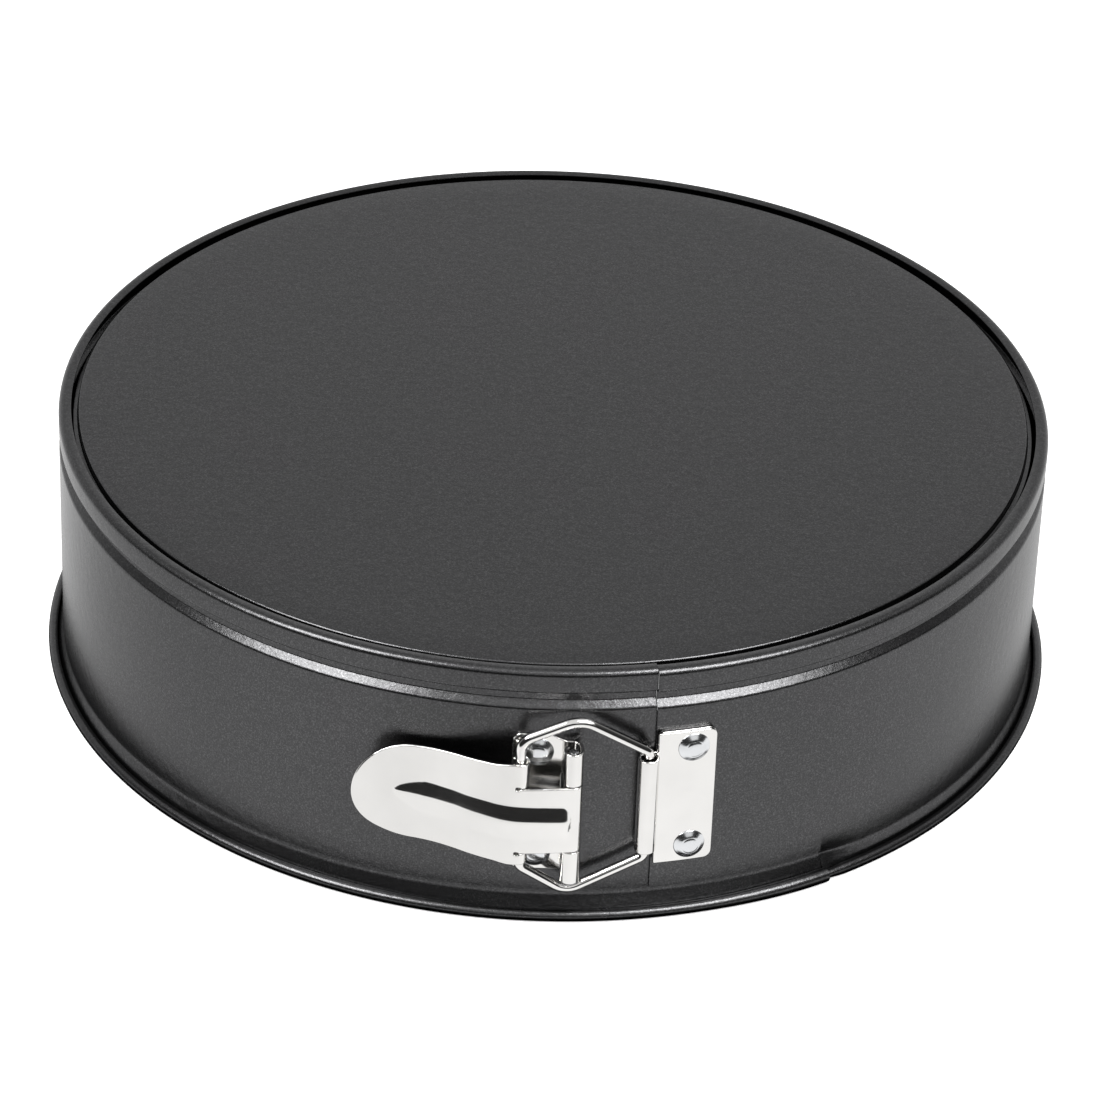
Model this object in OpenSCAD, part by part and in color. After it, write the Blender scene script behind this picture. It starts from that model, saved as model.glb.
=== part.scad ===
// Springform pan lying upside down: sprung band with a rolled rim, lift-out base
// and an over-centre lever latch with a wire link. Millimetres, +Z up, the rest
// plane is Z = 0, the pan's axis is the Z axis and the latch faces -Y.

/* [Band] */
// Outer radius of the band's straight wall
band_radius = 130; // [80:0.5:160]
// Thickness of the band's sheet steel
band_sheet = 0.5; // [0.3:0.05:1]
// Height of the lip's upper edge over the rest plane
lip_height = 71.6; // [40:0.1:100]
// Height of the top of the shoulder under the base groove
neck_top = 65.3; // [34:0.1:94]
// Height of the foot of the shoulder, where the straight wall starts
wall_top = 60.6; // [30:0.1:90]
// How far the neck under the groove is pressed inward
neck_depth = 1.8; // [0.5:0.1:3]
// How far the lip's free edge reaches inward from the wall
lip_reach = 3.1; // [1.5:0.1:6]
// Outer radius of the rolled rim's tube
bead_radius = 1.56; // [1:0.02:3]
// Radius of the circle that the rolled rim's tube is centred on
bead_ring_radius = 132.5; // [82:0.1:164]
// Height over the rest plane where the wall starts to flare to the rim
flare_top = 7; // [5:0.1:12]

/* [Overlap] */
// Angle of the outer layer's end edge about the axis, -90 is the front
outer_end_angle = -77.5; // [-88:0.5:-66]
// Angle where the inner tongue and its rim end
tongue_end_angle = -56.8; // [-66:0.5:-40]
// Gap between the two layers where they overlap at the front
layer_gap = 0.3; // [0.2:0.05:1]
// Hairline left between the two halves at the rear
rear_gap = 0.3; // [0.1:0.05:1]

/* [Base] */
// Radius of the base's flat outer face
base_face_radius = 124.9; // [75:0.1:155]
// Radius of the base's lower flange
base_flange_radius = 125.8; // [76:0.1:156]
// Height of the base's outer face over the rest plane
base_face_height = 71; // [38:0.1:98]
// Thickness of the base's sheet steel
base_sheet = 0.6; // [0.4:0.05:1.5]
// How far the flange lies below the outer face
base_step = 1.4; // [0.8:0.1:3]

/* [Latch] */
// Height of the latch's middle over the rest plane
latch_mid = 34.8; // [20:0.1:60]
// Angle of the lever's pivot about the pan's axis
pivot_angle = -86.5; // [-92:0.1:-82]
// Distance of the lever's pivot from the pan's axis
pivot_radius = 134; // [84:0.1:164]
// Angle of the link's pivot in the lever's shoulder
shoulder_angle = -92; // [-98:0.1:-88]
// Distance of the link's pivot in the lever from the pan's axis
shoulder_radius = 135.2; // [85:0.1:165]
// Angle of the link's pivot in the keeper
keeper_pivot_angle = -78.5; // [-82:0.1:-74]
// Distance of the link's pivot in the keeper from the pan's axis
keeper_pivot_radius = 132.8; // [83:0.1:163]
// Thickness of the lever's and the bracket's sheet
plate = 0.9; // [0.6:0.05:2]
// Thickness of the keeper, which is that of its folded sheet twice
keeper_thick = 1.5; // [0.8:0.05:3]

/* [Lever] */
// Angle of the lever's rounded tip about the pan's axis
lever_tip_angle = -109.7; // [-120:0.5:-100]
// Height of the lever's two shoulders
shoulder_height = 29.5; // [20:0.1:50]
// Height of the lever's handle near its tip
handle_height = 27.4; // [16:0.1:45]
// Height of the lever's narrow tongue at its pivot
tongue_height = 19; // [10:0.1:30]
// Outer radius of the hinge knuckles
knuckle_radius = 2.5; // [1.8:0.05:4]
// How far the lever's tongue and its hinge lie below the latch's middle
hinge_drop = 1.8; // [0:0.1:4]
// Width of the stiffening rib pressed out of the lever
rib_width = 8.2; // [2:0.1:12]
// Height of the rib over the lever's face
rib_height = 1.45; // [0.3:0.05:3]

/* [Link] */
// Radius of the link's wire
wire_radius = 1.3; // [0.8:0.05:2]
// Length of the link's straight side in the keeper
link_side = 31; // [20:0.1:50]
// Length of the link's straight side in the lever's shoulders
lever_side = 36.5; // [20:0.1:50]
// How far the middle of the side in the shoulders lies above the latch's middle
side_rise = 2.2; // [-4:0.1:4]
// Distance between the link's two outer bends
link_height = 50.2; // [30:0.1:80]
// Angle of the link's outer bends about the pan's axis
link_bend_angle = -85.8; // [-90:0.1:-80]

/* [Fixings] */
// Height of the keeper's plate
plate_height = 38.5; // [25:0.1:60]
// Height of the bracket's plate
bracket_height = 40; // [25:0.1:60]
// How far the bracket's plate and rivets lie below the latch's middle
bracket_drop = 0.8; // [0:0.1:4]
// Radius of the plates' free corners
plate_corner = 2.2; // [0.5:0.1:6]
// Angle of the keeper plate's free edge
keeper_edge_angle = -70.85; // [-74:0.1:-64]
// Angle of the bracket plate's free edge
bracket_edge_angle = -93; // [-98:0.1:-90]
// Height of the keeper's knuckle
keeper_knuckle_height = 27.4; // [15:0.1:45]
// Outer radius of the keeper's knuckle
keeper_knuckle_radius = 2.6; // [1.8:0.05:4]
// Overall height of the lever's hinge barrel
barrel_height = 38.4; // [25:0.1:60]
// Distance between the two rivets of the bracket
rivet_pitch = 30; // [15:0.1:50]
// Distance between the two rivets of the keeper
keeper_pitch = 28.9; // [15:0.1:50]
// Angle of the keeper's rivets
keeper_rivet_angle = -73.45; // [-78:0.1:-68]
// Angle of the bracket's rivets
bracket_rivet_angle = -90.3; // [-94:0.1:-87]
// Radius of a rivet's head
rivet_head_radius = 4; // [2.5:0.05:6]
// Radius of a rivet's shank
rivet_radius = 1.9; // [1:0.05:3]
// Radius of the lever's pin
pin_radius = 1.25; // [0.8:0.05:2]

/* [Hidden] */
$fn = 96;
fit = 0.05;
clear = 0.3;
plan_fn = 48;
layer_step = band_sheet + layer_gap;
rear_half_angle = asin(rear_gap / 2 / band_radius);
wall_mid = band_radius - band_sheet / 2;
bead_height = bead_radius * cos(15);
bead_mid = bead_radius - band_sheet / 2;
latch_wall = band_radius - layer_step;
hinge_mid = latch_mid - hinge_drop;
bracket_mid = latch_mid - bracket_drop;

function polar(a, r) = [r * cos(a), r * sin(a)];
function turned(v) = [for (i = [len(v) - 1:-1:0]) v[i]];
function normal(p, q) = [p[1] - q[1], q[0] - p[0]] / norm(q - p);
function beside(pts, d) = [
  for (i = [0:len(pts) - 1])
    let (
      last = len(pts) - 1,
      n1 = i == 0 ? normal(pts[0], pts[1]) : normal(pts[i - 1], pts[i]),
      n2 = i == last ? n1 : normal(pts[i], pts[i + 1]),
      m = (n1 + n2) / norm(n1 + n2)
    )
      pts[i] + m * d / (m * n1)
];
function strip(pts, t) = concat(beside(pts, t / 2), turned(beside(pts, -t / 2)));
function moved_in(pts, d) = [for (p = pts) [p[0] - d, p[1]]];

pivot = polar(pivot_angle, pivot_radius);
shoulder = polar(shoulder_angle, shoulder_radius);
keeper_pivot = polar(keeper_pivot_angle, keeper_pivot_radius);

// Middle of the band's sheet, from the lip's free edge to the end of the rolled rim
lip_path = [
  [band_radius - lip_reach + 0.1, lip_height - 0.25],
  [band_radius - lip_reach + 1.2, lip_height - 0.4],
  [wall_mid - 0.75, lip_height - 1.0],
  [wall_mid - 0.2, lip_height - 1.9],
  [wall_mid, lip_height - 3.0]
];
neck_path = [
  [wall_mid, neck_top + 0.7],
  [wall_mid - 0.45, neck_top + 0.05],
  [wall_mid - neck_depth, neck_top - 0.5],
  [wall_mid - neck_depth, wall_top + 2],
  [wall_mid - 0.15, wall_top + 0.2],
  [wall_mid, wall_top - 0.4]
];
flare_path = [
  [wall_mid, flare_top],
  [wall_mid + 0.15, flare_top - 1.6],
  [wall_mid + 0.6, flare_top - 2.9],
  [wall_mid + 1.2, flare_top - 4]
];
bead_path = [
  for (a = [165:30:465])
    [bead_ring_radius + bead_mid * cos(a), bead_height + bead_mid * sin(a)]
];
band_path = concat(lip_path, neck_path, flare_path, bead_path);

// Middle of the lever's plate, from its hinge knuckle to its tip
lever_path = [
  polar(pivot_angle - 0.2, pivot_radius + 1.5),
  polar(-88.5, 136.6),
  polar(-90.6, 137.1),
  polar(shoulder_angle, 137.15),
  polar(-93.6, 136.9),
  polar(-95.2, 136),
  polar(-97, 134.8),
  polar(-99, 133.3),
  polar(-101, 132.3),
  polar(-103, 132),
  polar(-105, 132.4),
  polar(-106.8, 133.3),
  polar(-108.4, 135),
  polar(lever_tip_angle, 136.8)
];
bracket_rise = [
  polar(-88.6, latch_wall + plate / 2),
  polar(-87.2, latch_wall + plate / 2 + 0.1),
  polar(-86.2, latch_wall + 1.2),
  polar(-85.8, latch_wall + 2.4),
  polar(-85.77, pivot_radius - 0.8)
];
keeper_rise = [
  polar(keeper_pivot_angle + 1.9, band_radius + keeper_thick / 2),
  polar(keeper_pivot_angle + 0.7, band_radius + 1.1),
  polar(keeper_pivot_angle + 0.3, band_radius + 1.8)
];
rise_sheet = plate * 0.8;

// A ring sector swept from a section of radius and height
module sector(from, to) {
  rotate([0, 0, from])
    rotate_extrude(angle = to - from, $fn = 180)
      children();
}

module box_section(r0, r1, z0, z1) {
  translate([r0, z0])
    square([r1 - r0, z1 - z0]);
}

// A round hole or bar along a radius of the pan
module radial_bar(a, z, r, from, to) {
  rotate([0, 0, a])
    translate([from, 0, z])
      rotate([0, 90, 0])
        cylinder(h = to - from, r = r, $fn = plan_fn);
}

module rivet_holes(a, middle, pitch, from, to) {
  for (s = [-1, 1])
    radial_bar(a, middle + s * pitch / 2, rivet_radius + fit, from, to);
}

// A plate bent to the wall, with its two corners rounded at the free end
module bent_plate(from, to, r, thick, free, height, mid_height) {
  corner = plate_corner;
  middle = (from + to) / 2;
  half_w = r * sin((to - from) / 2);
  half_h = height / 2;
  intersection() {
    sector(from - 2, to + 2)
      box_section(r, r + thick, mid_height - half_h - 2, mid_height + half_h + 2);
    rotate([0, 0, middle])
      translate([r - 5, 0, mid_height])
        rotate([90, 0, 90])
          linear_extrude(height = 10)
            polygon(concat(
              [[-free * half_w, half_h], [-free * half_w, -half_h]],
              [
                for (a = [-90:15:0])
                  [free * (half_w - corner + corner * cos(a)), -half_h + corner + corner * sin(a)]
              ],
              [
                for (a = [0:15:90])
                  [free * (half_w - corner + corner * cos(a)), half_h - corner + corner * sin(a)]
              ]
            ));
  }
}

module band_latch_half() {
  color([0.2, 0.2, 0.21])
    difference() {
      translate([0, layer_step / 2, 0])
        sector(90 + rear_half_angle, 360 + tongue_end_angle)
          polygon(strip(moved_in(band_path, layer_step / 2), band_sheet));
      sector(360 + outer_end_angle, 361 + tongue_end_angle)
        box_section(band_radius - 8, band_radius + 8, wall_top - 1.2, lip_height + 3);
      rivet_holes(bracket_rivet_angle, bracket_mid, rivet_pitch, band_radius - 6, band_radius + 3);
    }
}

module band_keeper_half() {
  color([0.2, 0.2, 0.21])
    difference() {
      sector(outer_end_angle, 90 - rear_half_angle)
        polygon(strip(band_path, band_sheet));
      sector(outer_end_angle - 1, tongue_end_angle + 0.2)
        box_section(band_radius - 4, band_radius + 8, -1, flare_top + clear);
      rivet_holes(keeper_rivet_angle, latch_mid, keeper_pitch, band_radius - 4, band_radius + 4);
    }
}

module base_plate() {
  low = base_face_height - base_step;
  color([0.22, 0.22, 0.23])
    rotate_extrude($fn = 180)
      polygon([
        [0, base_face_height - base_sheet],
        [base_face_radius - base_sheet, base_face_height - base_sheet],
        [base_face_radius - base_sheet, low - base_sheet],
        [base_flange_radius, low - base_sheet],
        [base_flange_radius, low],
        [base_face_radius, low],
        [base_face_radius, base_face_height - 0.4],
        [base_face_radius - 0.12, base_face_height - 0.12],
        [base_face_radius - 0.4, base_face_height],
        [0, base_face_height]
      ]);
}

module latch_bracket() {
  gap_half = tongue_height / 2 + clear;
  knuckle = barrel_height / 2 - gap_half;
  color([0.8, 0.81, 0.82])
    difference() {
      union() {
        bent_plate(
          bracket_edge_angle, -87.9, latch_wall,
          plate, -1, bracket_height, bracket_mid
        );
        for (z = [gap_half, -gap_half - knuckle])
          translate([0, 0, hinge_mid + z]) {
            linear_extrude(height = knuckle)
              polygon(strip(bracket_rise, rise_sheet));
            translate([pivot[0], pivot[1], 0])
              cylinder(h = knuckle, r = knuckle_radius, $fn = plan_fn);
          }
      }
      rivet_holes(bracket_rivet_angle, bracket_mid, rivet_pitch, band_radius - 4, band_radius + 3);
      translate([pivot[0], pivot[1], hinge_mid - barrel_height / 2 - 1])
        cylinder(h = barrel_height + 2, r = pin_radius + fit, $fn = plan_fn);
    }
}

// A set rivet: ringed head outside, shank through, flat tail inside
module rivet(a, z, seat, through, tail) {
  rotate([0, 0, a])
    translate([seat, 0, z])
      rotate([0, 90, 0])
        rotate_extrude($fn = plan_fn)
          polygon(concat(
            tail > 0
              ? [[0, -through - tail], [rivet_radius + 1.1, -through - tail], [rivet_radius + 1.1, -through]]
              : [[0, -through]],
            [
              [rivet_radius, -through],
              [rivet_radius, 0.02],
              [rivet_head_radius, 0.02],
              [rivet_head_radius, 0.12],
              [rivet_head_radius * 0.55, 1.1],
              [rivet_head_radius * 0.49, 1.36],
              [rivet_head_radius * 0.35, 1.7],
              [rivet_head_radius * 0.15, 1.87],
              [0, 1.9]
            ]
          ));
}

module bracket_rivet_upper() {
  color([0.82, 0.82, 0.83])
    rivet(
      bracket_rivet_angle, bracket_mid + rivet_pitch / 2,
      latch_wall + plate, plate + band_sheet + 0.04, 0.6
    );
}

module bracket_rivet_lower() {
  color([0.82, 0.82, 0.83])
    rivet(
      bracket_rivet_angle, bracket_mid - rivet_pitch / 2,
      latch_wall + plate, plate + band_sheet + 0.04, 0.6
    );
}

module keeper_rivet_upper() {
  color([0.82, 0.82, 0.83])
    rivet(
      keeper_rivet_angle, latch_mid + keeper_pitch / 2,
      band_radius + keeper_thick, keeper_thick + band_sheet, 0
    );
}

module keeper_rivet_lower() {
  color([0.82, 0.82, 0.83])
    rivet(
      keeper_rivet_angle, latch_mid - keeper_pitch / 2,
      band_radius + keeper_thick, keeper_thick + band_sheet, 0
    );
}

module lever_pin() {
  head = 0.5;
  color([0.75, 0.75, 0.77])
    translate([pivot[0], pivot[1], hinge_mid])
      rotate_extrude($fn = plan_fn)
        polygon([
          [0, -barrel_height / 2 - head],
          [pin_radius + 0.45, -barrel_height / 2 - head],
          [pin_radius + 0.45, -barrel_height / 2],
          [pin_radius, -barrel_height / 2],
          [pin_radius, barrel_height / 2],
          [pin_radius + 0.45, barrel_height / 2],
          [pin_radius + 0.45, barrel_height / 2 + head],
          [0, barrel_height / 2 + head]
        ]);
}

// Outline of the lever seen from the front: shoulders, handle and rounded end
module lever_outline() {
  x_end = lever_path[len(lever_path) - 1][0];
  x_out = shoulder[0] + 2.2;
  x_in = shoulder[0] - 3.6;
  hs = shoulder_height / 2;
  hh = handle_height / 2;
  long = 15;
  polygon(concat(
    [[x_out, -hs + 1], [x_out, hs - 1], [x_out - 1, hs], [x_in + 1, hs], [x_in - 2, hs - 0.4]],
    [for (a = [90:10:180]) [x_end + long + long * cos(a), hh * sin(a)]],
    [for (a = [190:10:270]) [x_end + long + long * cos(a), hh * sin(a)]],
    [[x_in - 2, -hs + 0.4], [x_in + 1, -hs], [x_out - 1, -hs]]
  ));
}

rib_layers = 3;
rib_rise = rib_height / rib_layers;
function rib_half(k) = rib_width / 2 * (1 - k / rib_layers);
function rib_line(h) = [
  for (i = [1:10])
    lever_path[i] + polar(atan2(lever_path[i][1], lever_path[i][0]), h)
];

module lever() {
  tube = wire_radius + fit + 0.8;
  color([0.84, 0.84, 0.85])
    difference() {
      union() {
        translate([0, 0, latch_mid])
          intersection() {
            translate([0, 0, -shoulder_height / 2 - 1])
              linear_extrude(height = shoulder_height + 2)
                polygon(strip(lever_path, plate));
            union() {
              translate([0, -100, 0])
                rotate([90, 0, 0])
                  linear_extrude(height = 60)
                    lever_outline();
              translate([shoulder[0], -160, -tongue_height / 2 - hinge_drop])
                cube([pivot[0] - shoulder[0] + 1, 60, tongue_height]);
            }
          }
        translate([pivot[0], pivot[1], hinge_mid - tongue_height / 2])
          cylinder(h = tongue_height, r = knuckle_radius, $fn = plan_fn);
        for (s = [-1, 1]) {
          inner = s * tongue_height / 2 - hinge_drop;
          outer = s * shoulder_height / 2;
          translate([shoulder[0], shoulder[1], latch_mid + min(inner, outer)])
            cylinder(h = abs(outer - inner), r = tube, $fn = plan_fn);
        }
        for (k = [0:rib_layers - 1])
          translate([0, 0, latch_mid - hinge_drop / 2 - rib_half(k)])
            linear_extrude(height = 2 * rib_half(k))
              polygon(strip(rib_line(plate / 2 + rib_rise * (k + 0.5) - 0.05), rib_rise + 0.1));
      }
      translate([pivot[0], pivot[1], latch_mid - tongue_height])
        cylinder(h = 2 * tongue_height, r = pin_radius + fit, $fn = plan_fn);
      translate([shoulder[0], shoulder[1], latch_mid - shoulder_height])
        cylinder(h = 2 * shoulder_height, r = wire_radius + fit, $fn = plan_fn);
    }
}

// A straight length of wire between two points, with a ball at each bend
module wire(p, q) {
  d = q - p;
  translate(p)
    rotate([0, acos(d[2] / norm(d)), atan2(d[1], d[0])])
      cylinder(h = norm(d), r = wire_radius, $fn = plan_fn);
}

// The link's corners: in the shoulders, in the keeper and at the outer bends
function shoulder_corner(s) = [shoulder[0], shoulder[1], s * lever_side / 2 + side_rise];
function keeper_corner(s) = [keeper_pivot[0], keeper_pivot[1], s * link_side / 2];
function outer_bend(s) =
  let (
    x = polar(link_bend_angle - (s < 0 ? 1 : 0), 132)[0],
    along = (x - shoulder[0]) / (keeper_pivot[0] - shoulder[0]),
    place = shoulder + (keeper_pivot - shoulder) * along
  ) [place[0], place[1], s * link_height / 2 + 0.4];

module link_wire() {
  stub_end = keeper_knuckle_height / 2 + 0.65;
  color([0.86, 0.86, 0.87])
    translate([0, 0, latch_mid])
      union() {
        wire(shoulder_corner(-1), shoulder_corner(1));
        for (s = [-1, 1]) {
          wire(shoulder_corner(s), outer_bend(s));
          wire(outer_bend(s), keeper_corner(s));
          wire(keeper_corner(s), [keeper_pivot[0], keeper_pivot[1], s * stub_end]);
          for (p = [shoulder_corner(s), outer_bend(s), keeper_corner(s)])
            translate(p)
              sphere(r = wire_radius + 0.03, $fn = 32);
        }
      }
}

module link_wire_side() {
  half = keeper_knuckle_height / 2 + 0.3;
  color([0.86, 0.86, 0.87])
    translate([keeper_pivot[0], keeper_pivot[1], latch_mid - half])
      cylinder(h = 2 * half, r = wire_radius, $fn = plan_fn);
}

module keeper_plate() {
  half = keeper_knuckle_height / 2;
  color([0.84, 0.84, 0.85])
    difference() {
      union() {
        bent_plate(
          keeper_pivot_angle + 1.25, keeper_edge_angle, band_radius,
          keeper_thick, 1, plate_height, latch_mid
        );
        translate([0, 0, latch_mid - half])
          linear_extrude(height = 2 * half)
            polygon(strip(keeper_rise, keeper_thick * 0.8));
        translate([keeper_pivot[0], keeper_pivot[1], latch_mid - half])
          cylinder(h = 2 * half, r = keeper_knuckle_radius, $fn = plan_fn);
      }
      translate([keeper_pivot[0], keeper_pivot[1], latch_mid - half - 1])
        cylinder(h = 2 * half + 2, r = wire_radius + fit, $fn = plan_fn);
      rivet_holes(keeper_rivet_angle, latch_mid, keeper_pitch, band_radius - 4, band_radius + 4);
    }
}

band_latch_half();
band_keeper_half();
base_plate();
latch_bracket();
bracket_rivet_upper();
bracket_rivet_lower();
lever_pin();
lever();
link_wire();
link_wire_side();
keeper_plate();
keeper_rivet_upper();
keeper_rivet_lower();
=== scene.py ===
# Springform pan lying upside down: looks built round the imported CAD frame.
import math

import bmesh
import bpy
import numpy as np
from mathutils import Matrix, Vector
from mathutils.geometry import delaunay_2d_cdt


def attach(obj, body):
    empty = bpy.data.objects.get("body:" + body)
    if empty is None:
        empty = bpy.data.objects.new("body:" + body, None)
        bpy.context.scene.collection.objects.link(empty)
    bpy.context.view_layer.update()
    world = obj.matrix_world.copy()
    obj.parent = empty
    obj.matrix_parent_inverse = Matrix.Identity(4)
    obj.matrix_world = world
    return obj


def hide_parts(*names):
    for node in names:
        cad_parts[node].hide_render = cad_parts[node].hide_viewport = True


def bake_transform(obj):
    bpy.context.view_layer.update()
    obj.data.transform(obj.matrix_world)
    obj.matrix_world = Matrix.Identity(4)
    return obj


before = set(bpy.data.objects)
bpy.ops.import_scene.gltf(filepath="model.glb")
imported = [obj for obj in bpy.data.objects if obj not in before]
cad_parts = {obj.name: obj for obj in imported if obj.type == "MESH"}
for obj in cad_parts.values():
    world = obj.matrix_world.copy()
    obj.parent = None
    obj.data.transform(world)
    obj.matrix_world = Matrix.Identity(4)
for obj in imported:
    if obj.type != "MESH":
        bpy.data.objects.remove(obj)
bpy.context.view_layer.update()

# Lengths are in millimetres and angles in degrees. Angles run about the pan's axis, from +X to +Y.
MM = 0.001

# The band
BAND_R = 130.0          # outer radius of the band's wall
SHEET = 0.5             # thickness of the band's sheet
LAYER = 0.8             # the inner layer's step inward at the front
LAP_START = 282.5       # end edge of the outer layer
LAP_END = 303.2         # end of the inner layer's tongue
GAP = 0.03              # angle between the tongue's end and the other half's foot
TUBE = 1.26             # rolled rim, to the middle of its sheet
TUBE_R, TUBE_Z = 132.47, 1.515      # middle of the rolled rim
FOOT_R = 131.19         # where the foot runs into the rolled rim

# The latch. PIVOT, SHOULDER and KEEPER are upright axes, each an angle and a radius.
LATCH_Z = 34.8          # height of the latch's middle
HINGE_Z = 33.0          # height of the middle of the lever's hinge
BRACKET_Z = 34.0        # height midway between the bracket's rivets
PIVOT = (-86.5, 134.0)      # the lever's hinge
SHOULDER = (-92.0, 135.2)   # the wire where it turns in the lever's shoulders
KEEPER = (-78.5, 132.8)     # the wire where it turns in the keeper's knuckle
RIB_HEIGHT = 1.45       # raised rib on the lever
TIP_LONG = 16.0         # length of the handle's rounded end
WIRE_R = 1.3            # radius of the link's wire

# The stage
FLOOR_GLOW = 1.15       # brightness of the floor in reflections
LAMP_REACH = 1.05       # distance of the lamps from the origin, in metres
LAMPS = [               # name, azimuth, elevation, width in metres, radiance
    ("softbox_left", -145, 49, 0.5, 12.0),
    ("softbox_right", -47, 51, 0.5, 12.0),
]


def polar(angle, radius):
    a = math.radians(angle)
    return np.array([radius * math.cos(a), radius * math.sin(a)])


# ---------------------------------------------------------------- camera
def make_camera():
    focal, across = 5013.98, 1100       # focal length and picture width, in the same unit
    tilt, roll = 0.5618, 0.0370         # radians
    radius = BAND_R * MM
    distance, slide_x, slide_y = 10.1462 * radius, -0.0040 * radius, 0.2857 * radius
    forward = Vector((0, math.cos(tilt), -math.sin(tilt)))
    right = Vector((1, 0, 0))
    up = Vector((0, math.sin(tilt), math.cos(tilt)))
    place = Vector((0, 0, 0.069)) - distance * forward - slide_x * right - slide_y * up
    side = math.cos(roll) * right + math.sin(roll) * up
    top = math.cos(roll) * up - math.sin(roll) * right
    data = bpy.data.cameras.new("camera")
    data.sensor_width = 36
    data.lens = focal / across * 36
    data.clip_start, data.clip_end = 0.05, 50
    obj = bpy.data.objects.new("camera", data)
    bpy.context.collection.objects.link(obj)
    obj.matrix_world = Matrix((
        (side.x, top.x, -forward.x, place.x),
        (side.y, top.y, -forward.y, place.y),
        (side.z, top.z, -forward.z, place.z),
        (0, 0, 0, 1),
    ))
    bpy.context.scene.camera = obj


# ---------------------------------------------------------------- materials
class Tree:
    """A node tree, with short ways to add and join its nodes."""
    def __init__(self, tree):
        self.tree = tree

    def add(self, kind, **values):
        node = self.tree.nodes.new(kind)
        for key, value in values.items():
            if key.startswith("in_"):
                node.inputs[int(key[3:])].default_value = value
            else:
                setattr(node, key, value)
        return node

    def link(self, a, b):
        self.tree.links.new(a, b)

    def math(self, operation, first, second=None):
        node = self.add("ShaderNodeMath", operation=operation)
        self.link(first, node.inputs[0])
        if second is not None:
            self.link(second, node.inputs[1])
        return node.outputs[0]

    def spread(self, value, low, high, first, last, kind="SMOOTHSTEP"):
        """Runs from first to last as the value runs from low to high."""
        node = self.add("ShaderNodeMapRange", interpolation_type=kind)
        for k, limit in enumerate((low, high, first, last)):
            node.inputs[k + 1].default_value = limit
        self.link(value, node.inputs["Value"])
        return node.outputs["Result"]

    def noise(self, vector, scale, detail=2.0, rough=0.5):
        node = self.add("ShaderNodeTexNoise")
        node.inputs["Scale"].default_value = scale
        node.inputs["Detail"].default_value = detail
        node.inputs["Roughness"].default_value = rough
        self.link(vector, node.inputs["Vector"])
        return node.outputs["Fac"]

    def ramp(self, value, stops):
        node = self.add("ShaderNodeValToRGB")
        ramp = node.color_ramp
        while len(ramp.elements) < len(stops):
            ramp.elements.new(0.5)
        for element, (place, level) in zip(ramp.elements, stops):
            element.position = place
            element.color = (*level, 1) if isinstance(level, tuple) else (level, level, level, 1)
        self.link(value, node.inputs["Fac"])
        return node.outputs["Color"]

    def bump(self, height, strength, distance, under=None):
        node = self.add("ShaderNodeBump")
        node.inputs["Strength"].default_value = strength
        node.inputs["Distance"].default_value = distance
        self.link(height, node.inputs["Height"])
        if under is not None:
            self.link(under, node.inputs["Normal"])
        return node.outputs["Normal"]


class Nodes(Tree):
    """A new material's nodes."""
    def __init__(self, name):
        self.material = bpy.data.materials.new(name)
        self.material.use_nodes = True
        super().__init__(self.material.node_tree)
        self.shader = self.tree.nodes["Principled BSDF"]

    def set(self, **values):
        for key, value in values.items():
            self.shader.inputs[key.replace("_", " ")].default_value = value

    def coords(self, scale=(1, 1, 1)):
        where = self.add("ShaderNodeTexCoord")
        mapping = self.add("ShaderNodeMapping")
        mapping.inputs["Scale"].default_value = scale
        self.link(where.outputs["Object"], mapping.inputs["Vector"])
        return mapping.outputs["Vector"]


def nonstick(name, tone, rough, grain):
    """Dark satin baked coating with fine metallic grains."""
    m = Nodes(name)
    p = m.coords()
    grains = m.noise(p, grain, 2.0, 0.6)
    cloud = m.noise(p, 45, 3.0, 0.5)
    level = m.ramp(grains, [
        (0.30, tuple(tone * k for k in (0.78, 0.78, 0.80))),
        (0.52, tuple(tone * k for k in (1.0, 1.0, 1.02))),
        (0.72, tuple(tone * k for k in (1.7, 1.7, 1.74))),
    ])
    m.link(level, m.shader.inputs["Base Color"])
    m.set(Metallic=1.0, Coat_Weight=0.0, Specular_Tint=(0.85, 0.85, 0.85, 1))
    m.link(m.ramp(cloud, [(0.3, rough - 0.004), (0.7, rough + 0.008)]), m.shader.inputs["Roughness"])
    orange = m.bump(m.noise(p, 420, 2.0, 0.5), 0.18, 0.0004)
    m.link(m.bump(grains, 0.22, 0.00012, orange), m.shader.inputs["Normal"])
    return m.material


def plated(name, colour, rough, wave=0.25, scratch=0.5):
    """Bright nickel plating over pressed steel: slightly wavy, with faint rub marks."""
    m = Nodes(name)
    p = m.coords()
    fine = m.noise(m.coords((1, 1, 14)), 300, 3.0, 0.6)
    tone = m.noise(p, 90, 3.0, 0.55)
    m.link(m.ramp(tone, [
        (0.25, tuple(c * 0.94 for c in colour)),
        (0.7, colour),
    ]), m.shader.inputs["Base Color"])
    m.set(Metallic=1.0)
    m.link(m.ramp(fine, [(0.35, rough), (0.75, rough + 0.09 * scratch)]), m.shader.inputs["Roughness"])
    broad = m.bump(m.noise(p, 70, 1.0, 0.4), wave, 0.0006)
    m.link(m.bump(fine, 0.03 * scratch, 0.0002, broad), m.shader.inputs["Normal"])
    return m.material


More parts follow.
